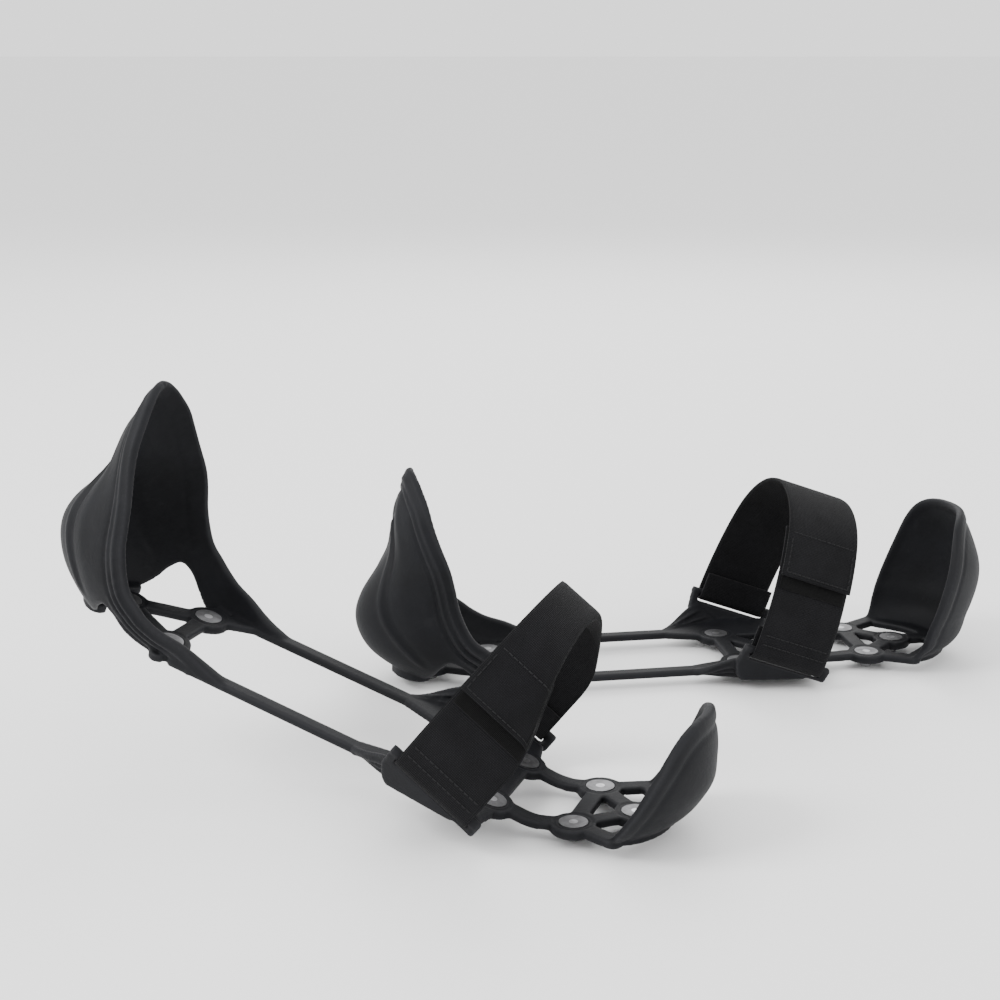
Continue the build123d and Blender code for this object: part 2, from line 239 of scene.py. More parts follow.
def round_edge(a, b, inside, steps, bulge):
    """Points of a rounded edge from a to b, on the side away from a point inside the wall."""
    middle = (a + b) / 2
    away = middle - inside
    away = away / max(np.linalg.norm(away), 1e-9) * min(np.linalg.norm(a - b) / 2, bulge)
    turns = np.linspace(0, math.pi, steps + 2)[1:-1]
    return [middle + (a - middle) * math.cos(t) + away * math.sin(t) for t in turns]


def thick_wall(outer, inner, round_steps=4, bulge=1.3):
    """Closed skin round two grids of points, with the wall's long edges rounded over."""
    half = round_steps // 2
    rings = []
    for out_row, in_row in zip(outer, inner):
        top = round_edge(out_row[-1], in_row[-1], (out_row[-2] + in_row[-2]) / 2, round_steps, bulge)
        bottom = round_edge(in_row[0], out_row[0], (out_row[1] + in_row[1]) / 2, round_steps, bulge)
        ring = list(out_row) + top + list(in_row[::-1]) + bottom
        rings.append(ring[-half:] + ring[:-half])
    return sweep(np.array(rings))


# ---- heel sling
# form: height, the back's place, half width; rim and lower edge: degrees from the back, rise over the web
HEEL_CENTRE = 48.0
HEEL_FORM = [(4, 11, 27), (8.5, 4, 31), (18, -8, 36), (28.5, -14.2, 38), (38, -15.4, 38.3),
             (46.5, -12.8, 38.3), (57.5, -6, 38), (66.5, -0.5, 37.4), (90.5, 4.6, 32), (112, 12.5, 19)]
HEEL_RIM = [(0, 101.5), (16, 99.5), (34, 93), (45, 85), (57, 67.5), (70, 48), (76, 34), (81, 23.5),
            (87, 17.5), (95, 11.2), (104, 7.6), (113, 2.6), (122, -1.4)]
HEEL_LOWER = [(0, 0), (34, 0), (46, 2.2), (56, 6), (63, 10.5), (69, 13.5), (74, 11), (80, 5), (88, 0),
              (96, -0.9), (122, -0.8)]
HEEL_DROP = 1.5
HEEL_WALL = 2.7
HEEL_FOOT_LENGTH = -45.5
HEEL_FOOT_HALF = 30.0
HEEL_FOOT_LIMIT = 43.0
HEM_WIDTH = 8.8
HEM_LIFT = 1.1
FOLD_PITCH = 3.6
# a place and two heights on the heel sling's back; points are placed there but not used
HEEL_BEND_X = 10.0
HEEL_BEND = (12.0, 40.0)
ARM_START = 90
ARM_END = 122
ARM_RUN = 1.3
ARM_HALF = 32.0


def heel_surface(angle, height, inset):
    """Point of the heel's form, by degrees round from the back and then on along the side arms."""
    back, half = form_at(HEEL_FORM, height)
    size = np.abs(angle)
    turn = np.radians(np.minimum(size, ARM_START))
    beyond = np.clip((size - ARM_START) / (ARM_END - ARM_START), 0, 1)
    arm = ease(beyond)
    x = HEEL_CENTRE - (HEEL_CENTRE - back - inset) * np.cos(turn) + beyond * (ARM_END - ARM_START) * ARM_RUN
    y = (half * (1 - arm) + ARM_HALF * arm - inset * (1 + 1.1 * arm)) * np.sin(turn)
    return np.stack([x, y * np.sign(angle), height + 0 * angle], axis=-1)


def heel_relief(skin, size, above_edge, gap):
    """How far the outer face stands out: hem, folds at the feet, creases and waviness at the back."""
    relief = HEM_LIFT * fade_out(gap, HEM_WIDTH, 2.6)
    for lift, centre, width in ((0.75, 4.0, 0.9), (-1.0, 9.8, 0.9), (-0.5, 6.2, 0.8)):
        relief += lift * bump(gap, centre, width)
    foot = np.clip((size - 70) / 10, 0, 1) * np.clip((112 - size) / 14, 0, 1)
    relief += foot * 0.75 * np.cos((gap - 4.0) * 2 * math.pi / FOLD_PITCH) * np.clip((gap - 2) / 2, 0, 1)
    clear = np.clip((above_edge - 2) / 7, 0, 1)
    back = np.clip((64 - size) / 16, 0, 1) * np.clip((gap - 10) / 6, 0, 1) * clear
    crease = (skin[..., 2] - 40) * 0.62 + (size - 34) * 0.8
    for lift, centre, width in ((0.9, 0, 1.7), (-0.9, 3.6, 2.4), (0.5, 13, 4.0)):
        relief += back * lift * bump(crease, centre, width)
    return relief + 0.5 * waviness(skin, 52, 3) * clear


def heel_sling():
    """Tall flap with a raised hem along its rim, folds at its feet and arms that run into the strands."""
    columns, rows = 250, 96
    angle = np.linspace(-ARM_END, ARM_END, columns)[:, None] + np.zeros((1, rows))
    size = np.abs(angle)
    top = WEB_TOP + smooth_curve(*zip(*HEEL_RIM), size)
    low = WEB_TOP - HEEL_DROP + smooth_curve(*zip(*HEEL_LOWER), size)
    height = low + (top - low) * np.linspace(0, 1, rows)[None, :]
    skin = heel_surface(angle, height, 0.0)
    relief = heel_relief(skin, size, height - low, distance_to(skin, skin[:, -1]))
    arm = np.clip((size - ARM_START) / 12, 0, 1)
    outer = heel_surface(angle, height, -relief * (1 - 0.7 * arm))
    inner = heel_surface(angle, height, HEEL_WALL + 0.3 * np.clip(relief, -0.4, 0.2))
    return thick_wall(outer, inner)


# ---- toe sling
# the right one hooks low over the toe and the left one stands taller; spread is degrees from the nose
TOE_CENTRE = 235.0
TOES = {
    "right": {"reach": 301.5, "height": 46.0, "lean": 3.0, "spread": 50.5, "power": 3.0, "root": 0.8},
    "left": {"reach": 312.0, "height": 70.0, "lean": 12.0, "spread": 57.5, "power": 4.0, "root": 0.6},
}
TOE_DROP = 2.9
TOE_WALL = 3.6
TOE_FOOT_INSET = 17.0
TOE_FOOT_HALF = 42.0
TOE_FOOT_REAR = 269.0


def toe_sling(side):
    """Thick cup hooked over the toe, with a soft bead round its rim and an edge that turns under."""
    toe = TOES[side]
    reach, tall, spread = toe["reach"], toe["height"], toe["spread"]
    form = [(WEB_TOP - 4, reach - 22, 37), (WEB_TOP, reach - 15, 42),
            (WEB_TOP + 0.25 * tall, reach - 5, 48.8), (WEB_TOP + 0.6 * tall, reach - 1, 50),
            (WEB_TOP + tall + 4, reach - toe["lean"] - 1, 46)]
    columns, rows = 170, 70
    angle = np.linspace(-spread, spread, columns)[:, None] + np.zeros((1, rows))
    turn = np.radians(angle)
    rim = np.maximum(tall * (1 - (np.abs(angle) / (spread + 0.4)) ** toe["power"]) ** toe["root"], 1.2)
    height = WEB_TOP - TOE_DROP + (rim + TOE_DROP) * np.linspace(0, 1, rows)[None, :]
    front, half = form_at(form, height)

    def surface(inset):
        x = TOE_CENTRE + (front - TOE_CENTRE - inset) * np.cos(turn)
        return np.stack([x, (half - inset) * np.sin(turn), height], axis=-1)

    skin = surface(0.0)
    gap = distance_to(skin, skin[:, -1])
    relief = 0.5 * fade_out(gap, 4.6, 2.0) - 0.5 * bump(gap, 6.2, 1.3)
    relief += 0.35 * waviness(skin, 40, 5)
    swell = (height - WEB_TOP - 0.42 * tall) / tall + 0.2 * np.sin(turn * 2.0)
    relief += 0.45 * bump(swell, 0, 0.14)
    return thick_wall(surface(-relief), surface(TOE_WALL + 0.5 * bump(gap, 2.0, 2.0)), 6)


# ---- webs: simple solids that are melted into one moulding
def prism(outline, low):
    """Closed upright solid over an outline, up to the web's top."""
    count = len(outline)
    points = [(x, y, low) for x, y in outline] + [(x, y, WEB_TOP) for x, y in outline]
    faces = [tuple(range(count))[::-1], tuple(range(count, 2 * count))]
    faces += [(i, (i + 1) % count, count + (i + 1) % count, count + i) for i in range(count)]
    return points, faces


def boss(centre):
    """Round thick spot of a web, which holds a stud."""
    turns = np.linspace(0, 2 * math.pi, 40, endpoint=False)
    outline = [(centre[0] + BOSS_RADIUS * math.cos(t), centre[1] + BOSS_RADIUS * math.sin(t)) for t in turns]
    return prism(outline, BOSS_UNDER)


def link(start, end, width=LINK_WIDTH):
    """Round-ended bar of a web."""
    along = math.atan2(end[1] - start[1], end[0] - start[0])
    outline = []
    for centre, facing in ((end, along), (start, along + math.pi)):
        for turn in facing + np.linspace(-math.pi / 2, math.pi / 2, 12):
            outline.append((centre[0] + width / 2 * math.cos(turn), centre[1] + width / 2 * math.sin(turn)))
    return prism(outline, WEB_UNDER)


def crescent(centre_x, length, half, limit, width=10.0):
    """Flat curved band under the edge of a sling, out to an angle on each side, with rounded ends."""
    facing = 1 if length > 0 else -1
    rings = []
    for share in np.sin(np.linspace(-math.pi / 2, math.pi / 2, 81)):
        turn = math.radians(limit * share)
        narrowing = width / 2 * (1 - max(1 - share**8, 0.01) ** 0.5)
        out, inner = (
            (centre_x + (length - facing * inset) * math.cos(turn), (half - inset) * math.sin(turn))
            for inset in (narrowing, width - narrowing)
        )
        rings.append([(*out, WEB_TOP), (*inner, WEB_TOP), (*inner, WEB_UNDER), (*out, WEB_UNDER)])
    return sweep(np.array(rings))


# ---- ears, in the strap's plane: their slot, and how far they reach past the strap's edges
EAR_HALF = STRAP_WIDTH / 2 + 4.5
EAR_SPLAY = 0.35
EAR_FOOT = 5.2
EAR_WALL = 1.8
EAR_POST = 4.0
EAR_BAR = 2.1
SLOT_LOW = BAR_RISE - 4.7
SLOT_SILL = SLOT_LOW - 1.5


def ear_plate(side, stations, tops, bottoms, thickness):
    """Splayed plate of an ear, from its tops down to its bottoms at stations along the strap's width."""
    rings = []
    for s, top, bottom in np.broadcast(stations, tops, bottoms):
        y_top = side * (BAR_Y - EAR_SPLAY * (BAR_RISE - top))
        y_bottom = side * (BAR_Y - EAR_SPLAY * (BAR_RISE - bottom))
        ys = [y_top + thickness, y_bottom + thickness, y_bottom - thickness, y_top - thickness]
        rings.append(strap_point(ys, [top, bottom, bottom, top], s))
    return sweep(np.array(rings))


def ear(side):
    """Plate beside the sole, the posts of its slot, and the slanted bar that the strap goes round."""
    turns = np.linspace(0, 2 * math.pi, 16, endpoint=False)
    ys = side * BAR_Y + EAR_BAR * np.cos(turns)
    bar = [strap_point(ys, BAR_RISE + EAR_BAR * np.sin(turns), s) for s in (-EAR_HALF, EAR_HALF)]
    stations = np.linspace(-EAR_HALF, EAR_HALF, 30)
    ground = (EAR_FOOT - STRAP_FOOT[2] + stations * math.sin(LEAN)) / math.cos(LEAN)
    corners = 0.16 * np.maximum(np.abs(stations + 2.0) - 13.0, 0.0) ** 2
    bottoms = np.minimum(SLOT_SILL, ground + corners)
    parts = [sweep(np.array(bar)), ear_plate(side, stations, SLOT_LOW, bottoms, EAR_WALL)]
    for edge in (-EAR_HALF, EAR_HALF - EAR_POST):
        stations = np.linspace(edge, edge + EAR_POST, 3)
        parts.append(ear_plate(side, stations, BAR_RISE + 0.5, SLOT_SILL, EAR_WALL + 0.1))
    return parts


def lobe(side):
    """Part of the ball web that an ear rises from."""
    corners = [(150, 26), (159, 31), (168, 36.5), (180, 41.5), (208, 42.2), (214, 40), (216, 32), (216, 21),
               (166, 21)]
    outline = [(x, side * y) for x, y in corners]
    return prism(outline if side < 0 else outline[::-1], WEB_UNDER)


def gusset(side):
    """Gathered sheet of rubber from the side strand up to the ear, behind the strap's foot."""
    along = np.linspace(0, 1, 30)[:, None, None]
    up = np.linspace(0, 1, 25)[None, :, None]
    rise = 9.6 * ease(along)
    low_edge = np.concatenate([147 + 38 * along, side * (26.5 + 15.5 * along), 6.8 + 0 * along], axis=2)
    high_edge = np.concatenate([150 + 24 * along, side * (31 + 13.4 * along), 7.2 + rise], axis=2)
    sheet = low_edge * (1 - up) + high_edge * up
    normal = np.cross(np.gradient(sheet, axis=0), np.gradient(sheet, axis=1))
    normal /= np.linalg.norm(normal, axis=2, keepdims=True)
    half_wall = 1.3
    folds = 0.9 * np.sin(math.pi * along) * np.cos(2 * math.pi * 2.6 * up)
    return thick_wall(sheet + normal * (half_wall + folds), sheet - normal * (half_wall - 0.6 * folds))


# ---- mouldings
VOXEL = 0.72
SMOOTHING_ROUNDS = 5


def melt(name, solids):
    """One smooth moulding from overlapping solids, still in the cleat's own frame."""
    points, faces = join_solids(solids)
    obj = new_object(name, points * MM, faces)
    remesh = obj.modifiers.new("remesh", "REMESH")
    remesh.mode = "VOXEL"
    remesh.voxel_size = VOXEL * MM
    soften = obj.modifiers.new("soften", "SMOOTH")
    soften.factor = 0.5
    soften.iterations = SMOOTHING_ROUNDS
    bpy.context.view_layer.update()
    shaped = bpy.data.meshes.new_from_object(obj.evaluated_get(bpy.context.evaluated_depsgraph_get()))
    obj.modifiers.clear()
    obj.data = shaped
    shaped.shade_smooth()
    return obj


def finish_moulding(obj, cleat, bosses, material):
    """Sink a seat and a ring round each stud's washer, then move the moulding to the frame of the pair."""
    flat = np.zeros(len(obj.data.vertices) * 3)
    obj.data.vertices.foreach_get("co", flat)
    points = flat.reshape(-1, 3) / MM
    on_top = points[:, 2] > WEB_TOP - 0.8
    for x, y in bosses:
        distance = np.hypot(points[:, 0] - x, points[:, 1] - y)
        ring = SEAT_RING_DEPTH * bump(distance, SEAT_RING_RADIUS, 0.6)
        points[:, 2] -= on_top * (ring + SEAT_DEPTH * fade_out(distance, SEAT_RADIUS, 6))
    obj.data.vertices.foreach_set("co", cleat.place(points).ravel())
    obj.data.update()
    obj.data.materials.append(material)


def front_links(length, corner):
    """Links of the front net, out to the toe sling's nose and corners and to the strands."""
    low, high, nose = TOE_BOSSES
    rear_low, rear_high, front_low, front_high = BALL_BOSSES
    pairs = [(low, high), (low, nose), (high, nose), (nose, (TOE_CENTRE + length - 5, 0)),
             (rear_low, rear_high), (front_low, front_high), (rear_low, front_low), (rear_high, front_high),
             (rear_low, front_high), (rear_high, front_low), (front_low, low), (front_high, high),
             (low, (corner[0], -corner[1])), (high, corner),
             (rear_low, (STRAND_END - 2, -STRAND_Y)), (rear_high, (STRAND_END - 2, STRAND_Y))]
    return [link(start, end) for start, end in pairs]


def make_front_moulding(cleat, material):
    """The toe cup, the net under the toes and the ball of the foot, and the strap's ears, in one piece."""
    toe = TOES[cleat.side]
    length = toe["reach"] - TOE_FOOT_INSET - TOE_CENTRE
    corner_turn = math.radians(toe["spread"] - 2)
    corner_half = TOE_FOOT_HALF - 4.5
    corner = (TOE_CENTRE + (length - 2.5) * math.cos(corner_turn), corner_half * math.sin(corner_turn))
    bosses = TOE_BOSSES + BALL_BOSSES
    limit = math.degrees(math.acos((TOE_FOOT_REAR - TOE_CENTRE) / length))
    solids = [boss(centre) for centre in bosses] + front_links(length, corner)
    solids += [crescent(TOE_CENTRE, length, TOE_FOOT_HALF, limit), toe_sling(cleat.side)]
    for side in (-1, 1):
        solids += ear(side) + [lobe(side), gusset(side)]
    obj = melt(cleat.side + "_front_moulding", solids)
    finish_moulding(obj, cleat, bosses, material)
    start = cleat.spot(FLEX_X + BEND_REACH, 0, WEB_TOP)
    end = cleat.spot(FLEX_X - BEND_REACH, 0, WEB_TOP)
    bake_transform(obj)
    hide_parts(cleat.side + "_toe_sling", cleat.side + "_toe_web", cleat.side + "_ball_web")


def make_rear_moulding(cleat, material):
    """The heel sling, the net under the heel and the two strands under the arch, in one piece."""
    back, low, high = HEEL_BOSSES
    solids = [heel_sling()] + [boss(centre) for centre in HEEL_BOSSES]
    for x, y in (low, high):
        side = 1 if y > 0 else -1
        strand_y = side * STRAND_Y
        solids += [link((x, y), (72, strand_y)), link((x, y), (x + 2, side * 30))]
        solids.append(link((STRAND_START, strand_y + side * 0.2), (STRAND_END, strand_y), STRAND_WIDTH))
    solids += [link(back, low), link(back, high), link(low, high), link(back, (6, 0))]
    solids.append(crescent(HEEL_CENTRE, HEEL_FOOT_LENGTH, HEEL_FOOT_HALF, HEEL_FOOT_LIMIT))
    obj = melt(cleat.side + "_rear_moulding", solids)
    finish_moulding(obj, cleat, HEEL_BOSSES, material)
    start, end = (cleat.spot(HEEL_BEND_X, 0, height) for height in HEEL_BEND)
    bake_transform(obj)
    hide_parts(cleat.side + "_heel_sling", cleat.side + "_heel_web", cleat.side + "_arch_strands")


# ---- strap: a path is rows of a point and its outward normal, both in the strap's plane as (y, w)
PATH_STEP = 0.8
PATCH_STEP = 0.5
STITCH_STEP = 0.4
SHORTEST_STEP = 0.05
LANES = 26
STITCH_PITCH = 2.6
STITCH_LENGTH = 0.8 * STITCH_PITCH
THREAD_RADIUS = 0.26
ROW_HALF = 16.5
FLAP_SEAM = 16.8


def arc_path(centre, radius, start, end, step):
    """Path along an arc, from one angle to another."""
    count = max(3, int(abs(end - start) * radius / step))
    turns = np.linspace(start, end, count)
    normals = np.stack([np.cos(turns), np.sin(turns)], axis=-1)
    return np.stack([np.array(centre) + radius * normals, normals], axis=1)


def bar_path():
    """Path of the strap's outer face from its tucked end down inside the bar and round it."""
    radius = BAR_RADIUS + 0.15 + STRAP_THICKNESS
    tail = [[(-BAR_Y + radius, BAR_RISE + rise), (1.0, 0.0)] for rise in np.linspace(TAIL, 0.0, 14)]
    return np.concatenate([tail, arc_path((-BAR_Y, BAR_RISE), radius, 0.0, -math.pi, PATH_STEP)])


def rising_path(half, inset, step=PATH_STEP):
    """Path from beside the bar up to the middle of the crown, some way inside a strap of a half width."""
    drop = CREST - CROWN_RADIUS - BAR_RISE
    radius = (half**2 + drop**2 - CROWN_RADIUS**2) / (2 * (half - CROWN_RADIUS))
    crown_start = math.pi - math.asin(drop / (radius - CROWN_RADIUS))
    side = arc_path((radius - half, BAR_RISE), radius - inset, math.pi, crown_start, step)
    crown = arc_path((0, CREST - CROWN_RADIUS), CROWN_RADIUS - inset, crown_start, math.pi / 2, step)
    return np.concatenate([side, crown])


def between(path, low, high=math.inf):
    """The stretch of a path between two heights."""
    heights = path[:, 0, 1]
    return path[(heights > low) & (heights < high)]


def mirrored(path):
    """The path on the other side of the foot."""
    return path * [-1, 1]


def step_lengths(path):
    """Distance from each point of a path to the next."""
    return np.linalg.norm(np.diff(path[:, 0], axis=0), axis=1)


def webbing(name, cleat, path, width, thickness, material, seed):
    """Flat woven strap along a path, with rounded selvedges and a slight wave."""
    path = path[np.concatenate([[True], step_lengths(path) > SHORTEST_STEP])]
    run = np.concatenate([[0], np.cumsum(step_lengths(path))])
    lanes = np.linspace(-1, 1, LANES)
    first, second = np.random.default_rng(seed).uniform(0, 6.28, 2)
    along = run[:, None]
    wave = 0.06 * np.sin(along / 9 + first + lanes) + 0.05 * np.sin(along / 21 + second - 2 * lanes)
    bead = 0.14 * bump(np.abs(lanes), 0.97, 0.035)
    tuck = np.where(np.abs(lanes) < 0.999, 0.0, 0.45 * thickness / 2)
    lift = np.concatenate([wave + bead - tuck, (wave - thickness + tuck)[:, ::-1]], axis=1)
    across = np.concatenate([lanes, lanes[::-1]]) * width / 2
    skin = path[:, None, 0] + path[:, None, 1] * lift[..., None]
    points, faces = sweep(strap_point(skin[..., 0], skin[..., 1], across))
    uvs = [(length * MM, (s + width) * MM) for length in run for s in across]
    return new_object(name, cleat.place(points), faces, material, uvs)


def make_straps(cleat, materials):
    """The long strap with its flap, the short strap, and the two patches of tape."""
    side, woven_tape = cleat.side, materials["webbing"]
    rise = mirrored(np.concatenate([bar_path(), rising_path(STRAP_HALF, 0.0)]))
    fall = between(rising_path(STRAP_HALF + STACK, 0.0), OVERLAP_END)[::-1]
    long_strap = webbing(side + "_long_strap_webbing", cleat, np.concatenate([rise, fall]), STRAP_WIDTH,
                         STRAP_THICKNESS, woven_tape, 11)
    start, end = strap_point(CREST_BEND, CREST, 0.0), strap_point(-CREST_BEND, CREST, 0.0)
    cleat.spot(*start)
    cleat.spot(*end)
    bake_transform(long_strap)
    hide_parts(side + "_long_strap", side + "_strap_flap")

    upright = between(rising_path(STRAP_HALF + STACK, STACK), BAR_RISE + 0.2, SHORT_STRAP_TOP)
    short_strap = webbing(side + "_short_strap_webbing", cleat, np.concatenate([bar_path(), upright]),
                          STRAP_WIDTH, STRAP_THICKNESS, woven_tape, 12)
    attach(short_strap, side + "_rear")
    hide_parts(side + "_short_strap")

    for node, inset, low, high, slot, body in (
        ("hook_patch", STACK - PATCH_THICKNESS, HOOK_START, SHORT_STRAP_TOP - 2, "hook_tape", "_rear"),
        ("loop_patch", STRAP_THICKNESS, OVERLAP_END + 1, SHORT_STRAP_TOP, "loop_tape", "_flap"),
    ):
        path = between(rising_path(STRAP_HALF + STACK, inset, PATCH_STEP), low, high)
        patch = webbing(f"{side}_{slot}", cleat, path, STRAP_WIDTH - 3, PATCH_THICKNESS - 0.05,
                        materials[slot], 13)
        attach(patch, side + body)
        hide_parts(f"{side}_{node}")


def stitch(path, start, end):
    """One stitch of thread over a strap's face, between two spots given as a height and a place across."""
    (first, first_s), (last, last_s) = (
        (path[np.argmin(np.abs(path[:, 0, 1] - height))], s) for height, s in (start, end)
    )
    line = []
    for (point, normal), share, lift in (
        (first, 0.0, -0.05), (first, 0.25, 0.22), (last, 0.75, 0.22), (last, 1.0, -0.05),
    ):
        line.append(strap_point(*(point + normal * lift), first_s + (last_s - first_s) * share))
    line = np.array(line)
    along = (line[-1] - line[0]) / np.linalg.norm(line[-1] - line[0])
    out = strap_point(*(first[0] + first[1]), first_s) - strap_point(*first[0], first_s)
    turns = np.linspace(0, 2 * math.pi, 6, endpoint=False)[:, None]
    circle = THREAD_RADIUS * (np.cos(turns) * out + np.sin(turns) * np.cross(along, out))
    return sweep(line[:, None] + circle)


def make_stitches(cleat, material):
    """Rows of thread round the flap's end and across both straps above their bars."""
    flap_rows = (OVERLAP_END + 2.5, SHORT_STRAP_TOP - 1.5)
    bar_rows = (BAR_RISE + 5.0, BAR_RISE + 9.5)
    flap = rising_path(STRAP_HALF + STACK, 0.0, STITCH_STEP)
    short = rising_path(STRAP_HALF + STACK, STACK, STITCH_STEP)
    inner = mirrored(rising_path(STRAP_HALF, 0.0, STITCH_STEP))
    places = np.arange(-ROW_HALF, ROW_HALF - 0.5, STITCH_PITCH)
    for label, body, path, rows in (
        ("flap", "_flap", flap, flap_rows),
        ("short", "_rear", short, bar_rows),
        ("inner", "_strap", inner, bar_rows),
    ):
        stitches = []
        for w in rows:
            stitches += [stitch(path, (w, s), (w, s + STITCH_LENGTH)) for s in places]
        if label == "flap":
            heights = np.arange(rows[0], rows[1] - STITCH_PITCH, STITCH_PITCH)
            for s in (-FLAP_SEAM, FLAP_SEAM):
                stitches += [stitch(path, (w, s), (w + STITCH_LENGTH, s)) for w in heights]
        points, faces = join_solids(stitches)
        obj = new_object(f"{cleat.side}_{label}_stitches", cleat.place(points), faces, material)
        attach(obj, cleat.side + body)


# ---- materials
def node_material(name, colour, roughness):
    """New node material, with its nodes, a link function and its shader."""
    material = bpy.data.materials.new(name)
    material.use_nodes = True
    nodes, links = material.node_tree.nodes, material.node_tree.links
    shader = nodes["Principled BSDF"]
    shader.inputs["Base Color"].default_value = (*colour, 1)
    shader.inputs["Roughness"].default_value = roughness
    return material, nodes, links.new, shader


def add_node(nodes, kind, **values):
    """Node with the given settings and input values."""
    node = nodes.new(kind)
    for key, value in values.items():
        if key in node.inputs:
            node.inputs[key].default_value = value
        else:
            setattr(node, key, value)
    return node


def grey(value):
    """A neutral colour."""
    return (value, value, value)


def scaled(colour, factor):
    """A colour made darker or lighter."""
    return tuple(factor * c for c in colour)


def ramp(nodes, link_to, source, low, high, positions=(0.35, 0.65)):
    """Colour between two colours, driven by a value."""
    node = nodes.new("ShaderNodeValToRGB")
    for element, position, colour in zip(node.color_ramp.elements, positions, (low, high)):
        element.position = position
        element.color = (*colour, 1)
    link_to(source, node.inputs["Fac"])
    return node.outputs["Color"]


def cover(nodes, link_to, base, colour, mask):
    """The base colour, with another colour over it where a mask says."""
    node = add_node(nodes, "ShaderNodeMix", data_type="RGBA")
    link_to(mask, node.inputs["Factor"])
    link_to(base, node.inputs["A"])
    node.inputs["B"].default_value = (*colour, 1)
    return node.outputs["Result"]


def add_bump(nodes, link_to, height, strength, distance, under=None):
    """Bumped normal from a height, over another bump if one is given."""
    node = add_node(nodes, "ShaderNodeBump", Strength=strength, Distance=distance)
    link_to(height, node.inputs["Height"])
    if under:
        link_to(under, node.inputs["Normal"])
    return node.outputs["Normal"]


def vary_roughness(nodes, link_to, source, low, high, shader):
    """Roughness between two values, driven by a value."""
    node = add_node(nodes, "ShaderNodeMapRange", **{"To Min": low, "To Max": high})
    link_to(source, node.inputs["Value"])
    link_to(node.outputs["Result"], shader.inputs["Roughness"])


def rubber(name, colour, roughness):
    """Moulded elastomer: faint mottling, fine grain, rubbed dust, worn ridges and a gloss that varies."""
    material, nodes, link_to, shader = node_material(name, colour, roughness)
    where = nodes.new("ShaderNodeTexCoord").outputs["Object"]
    mottle = add_node(nodes, "ShaderNodeTexNoise", Scale=34.0, Detail=6.0, Roughness=0.6)
    grain = add_node(nodes, "ShaderNodeTexNoise", Scale=1500.0, Detail=3.0, Roughness=0.6)
    rubbed = add_node(nodes, "ShaderNodeTexNoise", Scale=90.0, Detail=8.0, Roughness=0.72, Distortion=0.6)
    for texture in (mottle, grain, rubbed):
        link_to(where, texture.inputs["Vector"])
    clean = ramp(nodes, link_to, mottle.outputs["Fac"], scaled(colour, 0.78), scaled(colour, 1.3))
    dust = ramp(nodes, link_to, rubbed.outputs["Fac"], grey(0), grey(0.2), (0.56, 0.74))
    ridges = nodes.new("ShaderNodeNewGeometry").outputs["Pointiness"]
    wear = ramp(nodes, link_to, ridges, grey(0), grey(0.5), (0.505, 0.56))
    dusty = cover(nodes, link_to, clean, (0.024, 0.024, 0.026), dust)
    worn = cover(nodes, link_to, dusty, (0.034, 0.034, 0.037), wear)
    link_to(worn, shader.inputs["Base Color"])
    vary_roughness(nodes, link_to, mottle.outputs["Fac"], roughness - 0.08, roughness + 0.12, shader)
    fine = add_bump(nodes, link_to, grain.outputs["Fac"], 0.22, 0.0004)
    link_to(add_bump(nodes, link_to, rubbed.outputs["Fac"], 0.25, 0.0012, fine), shader.inputs["Normal"])
    shader.inputs["Specular IOR Level"].default_value = 0.12
    return material


def woven(name, colour, rib, cross, strength):
    """Woven or napped tape: ribs across and warp along its UV, fuzz, and worn paler patches."""
    material, nodes, link_to, shader = node_material(name, colour, 0.85)
    where = nodes.new("ShaderNodeTexCoord").outputs["UV"]
    weft = add_node(nodes, "ShaderNodeTexWave", bands_direction="X", Scale=rib, Distortion=0.6, Detail=2.0,
                    **{"Detail Scale": 3.0})
    warp = add_node(nodes, "ShaderNodeTexWave", bands_direction="Y", Scale=cross, Distortion=0.4, Detail=1.0)
    fuzz = add_node(nodes, "ShaderNodeTexNoise", Scale=2600.0, Detail=4.0, Roughness=0.7)
    wear = add_node(nodes, "ShaderNodeTexNoise", Scale=55.0, Detail=5.0, Roughness=0.65)
    for texture in (weft, warp, fuzz, wear):
        link_to(where, texture.inputs["Vector"])
    weave = add_node(nodes, "ShaderNodeMath", operation="MULTIPLY")
    link_to(weft.outputs["Fac"], weave.inputs[0])
    link_to(warp.outputs["Fac"], weave.inputs[1])
    body = add_node(nodes, "ShaderNodeMath", operation="ADD")
    link_to(weave.outputs["Value"], body.inputs[0])
    link_to(fuzz.outputs["Fac"], body.inputs[1])
    threads = body.outputs["Value"]
    base = ramp(nodes, link_to, threads, scaled(colour, 0.6), scaled(colour, 1.45), (0.35, 1.0))
    patches = ramp(nodes, link_to, wear.outputs["Fac"], grey(0.8), grey(1.25))
    tint = add_node(nodes, "ShaderNodeMix", data_type="RGBA", blend_type="MULTIPLY")
    tint.inputs["Factor"].default_value = 1.0
    link_to(base, tint.inputs["A"])
    link_to(patches, tint.inputs["B"])
    link_to(tint.outputs["Result"], shader.inputs["Base Color"])
    link_to(add_bump(nodes, link_to, threads, strength, 0.0005), shader.inputs["Normal"])
    shader.inputs["Sheen Weight"].default_value = 0.025
    shader.inputs["Sheen Roughness"].default_value = 0.5
    shader.inputs["Specular IOR Level"].default_value = 0.1
    return material


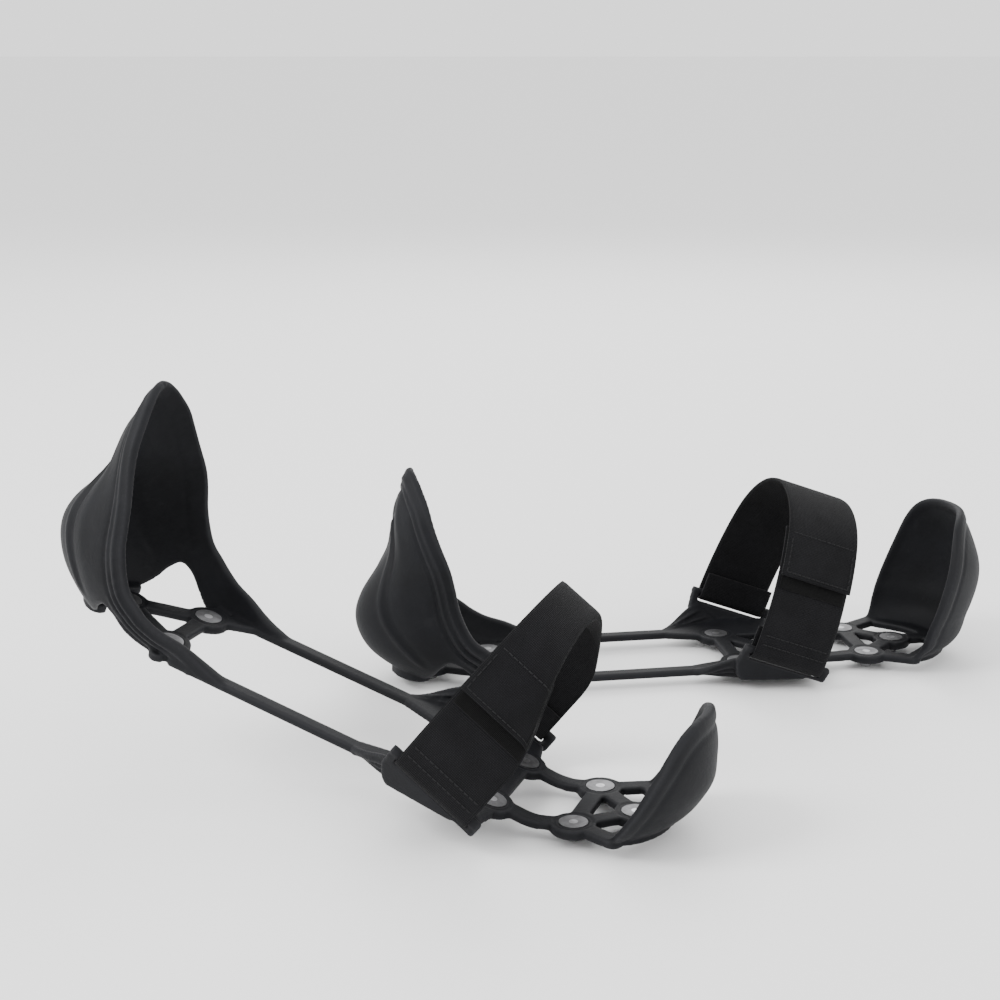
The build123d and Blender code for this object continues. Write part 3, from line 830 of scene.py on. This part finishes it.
def steel(name, colour, roughness, scratch_scale):
    """Turned or stamped steel with fine scratches, faint stains and a varying polish."""
    material, nodes, link_to, shader = node_material(name, colour, roughness)
    shader.inputs["Metallic"].default_value = 1.0
    where = nodes.new("ShaderNodeTexCoord").outputs["Object"]
    scratches = add_node(nodes, "ShaderNodeTexNoise", Scale=scratch_scale, Detail=6.0, Roughness=0.7,
                         Distortion=1.5)
    stains = add_node(nodes, "ShaderNodeTexNoise", Scale=240.0, Detail=4.0, Roughness=0.6)
    for texture in (scratches, stains):
        link_to(where, texture.inputs["Vector"])
    stained = ramp(nodes, link_to, stains.outputs["Fac"], scaled(colour, 0.55), colour, (0.3, 0.6))
    link_to(stained, shader.inputs["Base Color"])
    vary_roughness(nodes, link_to, scratches.outputs["Fac"], roughness - 0.1, roughness + 0.2, shader)
    link_to(add_bump(nodes, link_to, scratches.outputs["Fac"], 0.15, 0.0002), shader.inputs["Normal"])
    return material


def dress_steel(materials):
    """Give the studs, their tips and their washers their metals."""
    endings = {"_studs": "stud_steel", "_tips": "carbide", "_washers": "washer_steel"}
    for name, obj in frame["nodes"].items():
        for ending, slot in endings.items():
            if name.endswith(ending):
                obj.data.materials.clear()
                obj.data.materials.append(materials[slot])


# ---- stage, in metres
FLOOR_HALF = 30.0
WORLD_STRENGTH = 1.6
CAMERA_FROM_FLEX = (-0.0207, -0.6824, 0.3076)
CAMERA_DIP = 14.7
CAMERA_LENS = 63.5


def area_light(name, place, aim, power, size):
    """Soft square lamp that faces a point."""
    lamp = bpy.data.lights.new(name, "AREA")
    lamp.energy = power
    lamp.size = size
    obj = bpy.data.objects.new(name, lamp)
    obj.location = place
    obj.rotation_euler = (Vector(aim) - Vector(place)).to_track_quat("-Z", "Y").to_euler()
    bpy.context.scene.collection.objects.link(obj)


def make_stage():
    """Pale floor, pale surroundings and soft lights."""
    paint = node_material("floor_paint", grey(0.9), 0.85)[0]
    corners = [(x * FLOOR_HALF, y * FLOOR_HALF, 0) for x, y in ((-1, -1), (1, -1), (1, 1), (-1, 1))]
    floor = new_object("floor", corners, [(0, 1, 2, 3)], paint)
    world = bpy.data.worlds.new("studio")
    world.use_nodes = True
    sky = world.node_tree.nodes["Background"]
    sky.inputs["Color"].default_value = (1, 1, 1, 1)
    sky.inputs["Strength"].default_value = WORLD_STRENGTH
    bpy.context.scene.world = world
    area_light("key", (-1.4, -0.45, 1.3), (0, 0, 0.05), 32, 0.9)
    area_light("fill", (1.3, -0.7, 0.9), (0, 0, 0.05), 9, 1.2)
    area_light("back", (0.2, 1.4, 1.2), (0, 0, 0.08), 14, 1.0)


def make_camera():
    """Camera beside the right cleat, a little above it and level across."""
    camera = bpy.data.cameras.new("camera")
    camera.lens = CAMERA_LENS
    camera.sensor_width = 36
    camera.clip_start = 0.02
    obj = bpy.data.objects.new("camera", camera)
    obj.location = np.array(JOINTS["right_flex"]["pos_m"]) + CAMERA_FROM_FLEX
    obj.rotation_euler = (math.radians(90 - CAMERA_DIP), 0, 0)
    bpy.context.scene.collection.objects.link(obj)
    bpy.context.scene.camera = obj


def main():
    materials = {
        "rubber": rubber("moulded_rubber", (0.0062, 0.0065, 0.0078), 0.56),
        "webbing": woven("webbing", (0.0052, 0.0052, 0.006), 380.0, 420.0, 0.8),
        "hook_tape": woven("hook_tape", (0.0014, 0.0014, 0.0015), 560.0, 560.0, 1.0),
        "loop_tape": woven("loop_tape", (0.009, 0.009, 0.0098), 700.0, 300.0, 0.9),
        "thread": woven("thread", (0.02, 0.02, 0.021), 900.0, 900.0, 0.4),
        "stud_steel": steel("stud_steel", (0.4, 0.4, 0.41), 0.34, 1400.0),
        "carbide": steel("carbide", (0.2, 0.2, 0.21), 0.42, 2200.0),
        "washer_steel": steel("washer_steel", (0.17, 0.17, 0.175), 0.45, 900.0),
    }
    for side in ("right", "left"):
        cleat = Cleat(side)
        make_front_moulding(cleat, materials["rubber"])
        make_rear_moulding(cleat, materials["rubber"])
        make_straps(cleat, materials)
        make_stitches(cleat, materials["thread"])
    dress_steel(materials)
    make_stage()
    make_camera()


main()
